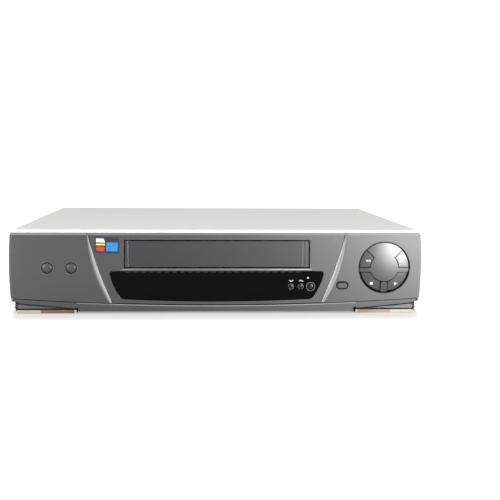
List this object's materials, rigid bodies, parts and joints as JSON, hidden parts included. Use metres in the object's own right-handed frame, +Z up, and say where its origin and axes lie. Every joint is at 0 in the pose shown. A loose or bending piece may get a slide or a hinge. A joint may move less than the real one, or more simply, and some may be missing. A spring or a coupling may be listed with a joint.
{
  "type": "video cassette recorder",
  "caption": "Low wide front-loading video cassette recorder with a flap door, display window, round transport cluster and a working tape deck inside.",
  "frame": {"origin": "on the floor, in the middle of the outer box", "axes": "+X to the right across the front, +Y from the front to the back, +Z up"},
  "size_m": [0.43, 0.29, 0.0885],
  "materials": {
    "cover_paint": "satin warm grey paint",
    "panel_plastic": "metallic grey moulded finish",
    "window_gloss": "gloss black",
    "door_plastic": "metallic grey moulded finish",
    "button_plastic": "metallic grey moulded finish",
    "small_button": "dark grey",
    "trim_plastic": "metallic grey moulded finish",
    "galvanised": "galvanised sheet",
    "steel": "plain steel",
    "aluminium": "machined",
    "gold_trim": "gold coloured",
    "black_plastic": "matte",
    "black_rubber": "matte",
    "white_plastic": "natural acetal",
    "board_green": "solder mask",
    "board_brown": "phenolic board",
    "tube_glass": "dark glass",
    "winding": "yellow tape",
    "can_blue": "shrink sleeve",
    "bronze": "sintered bronze",
    "nickel": "nickel plate"
  },
  "bodies": {
    "recorder": {"top_cover": "cover_paint", "cover_screws": "nickel", "front_panel": "panel_plastic", "display_window": "window_gloss", "door_spring": "steel", "transport_trim": "trim_plastic", "bottom_chassis": "galvanised", "front_feet": "gold_trim", "rear_feet": "black_plastic", "rear_panel": "galvanised", "scart_sockets": "black_plastic", "rf_unit": "nickel", "mains_inlet": "black_plastic", "front_board": "board_green", "tact_switches": "black_plastic", "display_tube": "tube_glass", "main_board": "board_green", "board_parts": "black_plastic", "power_board": "board_brown", "power_transformer": "winding", "heat_sink": "aluminium", "power_capacitors": "can_blue", "mechanism_deck": "galvanised", "carriage_frame": "galvanised", "lower_drum": "aluminium", "capstan_bearing": "bronze", "capstan_stator": "board_green", "reel_belt": "black_rubber", "loading_motor": "steel", "erase_head": "steel", "audio_head": "steel"},
    "door": {"cassette_door": "door_plastic"},
    "power": {"power_button": "button_plastic"},
    "eject": {"eject_button": "button_plastic"},
    "rewind": {"rewind_button": "button_plastic"},
    "forward": {"forward_button": "button_plastic"},
    "stop": {"stop_button": "button_plastic"},
    "play": {"play_button": "button_plastic"},
    "timer": {"timer_button": "button_plastic"},
    "channel_down": {"channel_down_button": "small_button"},
    "channel_up": {"channel_up_button": "small_button"},
    "record": {"record_button": "small_button"},
    "slider": {"carriage_slider": "black_plastic"},
    "holder": {"cassette_holder": "galvanised"},
    "supply": {"supply_reel": "black_plastic"},
    "takeup": {"takeup_reel": "black_plastic"},
    "clutch": {"clutch_pulley": "white_plastic"},
    "idler": {"idler_arm": "steel"},
    "idler_spinner": {"idler_wheel": "black_rubber"},
    "capstan": {"capstan_flywheel": "steel"},
    "pinch": {"pinch_arm": "steel"},
    "pinch_spinner": {"pinch_roller": "black_rubber"},
    "tension": {"tension_arm": "steel"},
    "drum": {"upper_drum": "aluminium"},
    "ring_left": {"loading_ring_left": "black_plastic"},
    "ring_right": {"loading_ring_right": "black_plastic"},
    "gear_left": {"loading_gear_left": "white_plastic"},
    "gear_right": {"loading_gear_right": "white_plastic"},
    "worm": {"loading_worm": "white_plastic"}
  },
  "joints": [
    {"name": "door_hinge", "type": "hinge", "parent": "recorder", "child": "door", "pos_m": [0, -0.1396, 0.0761], "axis": [-1, 0, 0], "range_deg": [-90, 0], "stiffness_Nm_per_rad": 0.01, "springref_deg": 22.92},
    {"name": "power_press", "type": "slide", "parent": "recorder", "child": "power", "axis": [0, 1, 0], "range_m": [0, 0.001], "stiffness_N_per_m": 400, "springref_m": -0.001},
    {"name": "eject_press", "type": "slide", "parent": "recorder", "child": "eject", "axis": [0, 1, 0], "range_m": [0, 0.001], "stiffness_N_per_m": 400, "springref_m": -0.001},
    {"name": "rewind_press", "type": "slide", "parent": "recorder", "child": "rewind", "axis": [0, 1, 0], "range_m": [0, 0.001], "stiffness_N_per_m": 400, "springref_m": -0.001},
    {"name": "forward_press", "type": "slide", "parent": "recorder", "child": "forward", "axis": [0, 1, 0], "range_m": [0, 0.001], "stiffness_N_per_m": 400, "springref_m": -0.001},
    {"name": "stop_press", "type": "slide", "parent": "recorder", "child": "stop", "axis": [0, 1, 0], "range_m": [0, 0.001], "stiffness_N_per_m": 400, "springref_m": -0.001},
    {"name": "play_press", "type": "slide", "parent": "recorder", "child": "play", "axis": [0, 1, 0], "range_m": [0, 0.001], "stiffness_N_per_m": 400, "springref_m": -0.001},
    {"name": "timer_press", "type": "slide", "parent": "recorder", "child": "timer", "axis": [0, 1, 0], "range_m": [0, 0.001], "stiffness_N_per_m": 400, "springref_m": -0.001},
    {"name": "channel_down_press", "type": "slide", "parent": "recorder", "child": "channel_down", "axis": [0, 1, 0], "range_m": [0, 0.001], "stiffness_N_per_m": 400, "springref_m": -0.001},
    {"name": "channel_up_press", "type": "slide", "parent": "recorder", "child": "channel_up", "axis": [0, 1, 0], "range_m": [0, 0.001], "stiffness_N_per_m": 400, "springref_m": -0.001},
    {"name": "record_press", "type": "slide", "parent": "recorder", "child": "record", "axis": [0, 1, 0], "range_m": [0, 0.001], "stiffness_N_per_m": 400, "springref_m": -0.001},
    {"name": "holder_in", "type": "slide", "parent": "recorder", "child": "slider", "axis": [0, 1, 0], "range_m": [0, 0.04]},
    {"name": "holder_down", "type": "slide", "parent": "slider", "child": "holder", "axis": [0, 0, -1], "range_m": [0, 0.022]},
    {"name": "supply_spin", "type": "hinge", "parent": "recorder", "child": "supply", "pos_m": [-0.046, -0.036, 0.0166], "axis": [0, 0, 1], "continuous": true},
    {"name": "takeup_spin", "type": "hinge", "parent": "recorder", "child": "takeup", "pos_m": [0.046, -0.036, 0.0166], "axis": [0, 0, 1], "continuous": true},
    {"name": "capstan_spin", "type": "hinge", "parent": "recorder", "child": "capstan", "pos_m": [0.066, 0.023, 0.0166], "axis": [0, 0, 1], "continuous": true},
    {"name": "clutch_spin", "type": "hinge", "parent": "recorder", "child": "clutch", "pos_m": [0, -0.036, 0.0166], "axis": [0, 0, 1], "continuous": true},
    {"name": "idler_swing", "type": "hinge", "parent": "recorder", "child": "idler", "pos_m": [0, -0.036, 0.0206], "axis": [0, 0, 1], "range_deg": [-33, 33]},
    {"name": "idler_spin", "type": "hinge", "parent": "idler", "child": "idler_spinner", "pos_m": [0, -0.0117, 0.0166], "axis": [0, 0, 1], "continuous": true},
    {"name": "pinch_swing", "type": "hinge", "parent": "recorder", "child": "pinch", "pos_m": [0.088, 0.041, 0.0186], "axis": [0, 0, 1], "range_deg": [0, 28], "stiffness_Nm_per_rad": 0.02, "springref_deg": -17.19},
    {"name": "pinch_roller_spin", "type": "hinge", "parent": "pinch", "child": "pinch_spinner", "pos_m": [0.06867, 0.03935, 0.0296], "axis": [0, 0, 1], "continuous": true},
    {"name": "tension_swing", "type": "hinge", "parent": "recorder", "child": "tension", "pos_m": [-0.084, 0.013, 0.0166], "axis": [0, 0, 1], "range_deg": [0, 20], "stiffness_Nm_per_rad": 0.01, "springref_deg": -17.19},
    {"name": "drum_spin", "type": "hinge", "parent": "recorder", "child": "drum", "pos_m": [0, 0.058, 0.0242], "axis": [0, -0.0872, 0.9962], "continuous": true},
    {"name": "loading_left_turn", "type": "hinge", "parent": "recorder", "child": "ring_left", "pos_m": [0, 0.058, 0.0166], "axis": [0, 0, -1], "range_deg": [0, 90]},
    {"name": "loading_right_turn", "type": "hinge", "parent": "recorder", "child": "ring_right", "pos_m": [0, 0.058, 0.0166], "axis": [0, 0, 1], "range_deg": [0, 90]},
    {"name": "gear_left_turn", "type": "hinge", "parent": "recorder", "child": "gear_left", "pos_m": [-0.018, 0.09595, 0.0166], "axis": [0, 0, 1], "range_deg": [0, 120]},
    {"name": "gear_right_turn", "type": "hinge", "parent": "recorder", "child": "gear_right", "pos_m": [0.018, 0.09595, 0.0166], "axis": [0, 0, -1], "range_deg": [0, 120]},
    {"name": "worm_turn", "type": "hinge", "parent": "recorder", "child": "worm", "pos_m": [-0.018, 0.11985, 0.018], "axis": [1, 0, 0], "range_deg": [0, 2880]}
  ],
  "couplings": [
    {"joint": "clutch_spin", "follows": "capstan_spin", "ratio": 0.5},
    {"joint": "idler_spin", "follows": "capstan_spin", "ratio": -0.25},
    {"joint": "loading_right_turn", "follows": "loading_left_turn", "ratio": 1},
    {"joint": "gear_left_turn", "follows": "loading_left_turn", "ratio": 1.3333},
    {"joint": "gear_right_turn", "follows": "loading_left_turn", "ratio": 1.3333},
    {"joint": "worm_turn", "follows": "loading_left_turn", "ratio": 32}
  ]
}
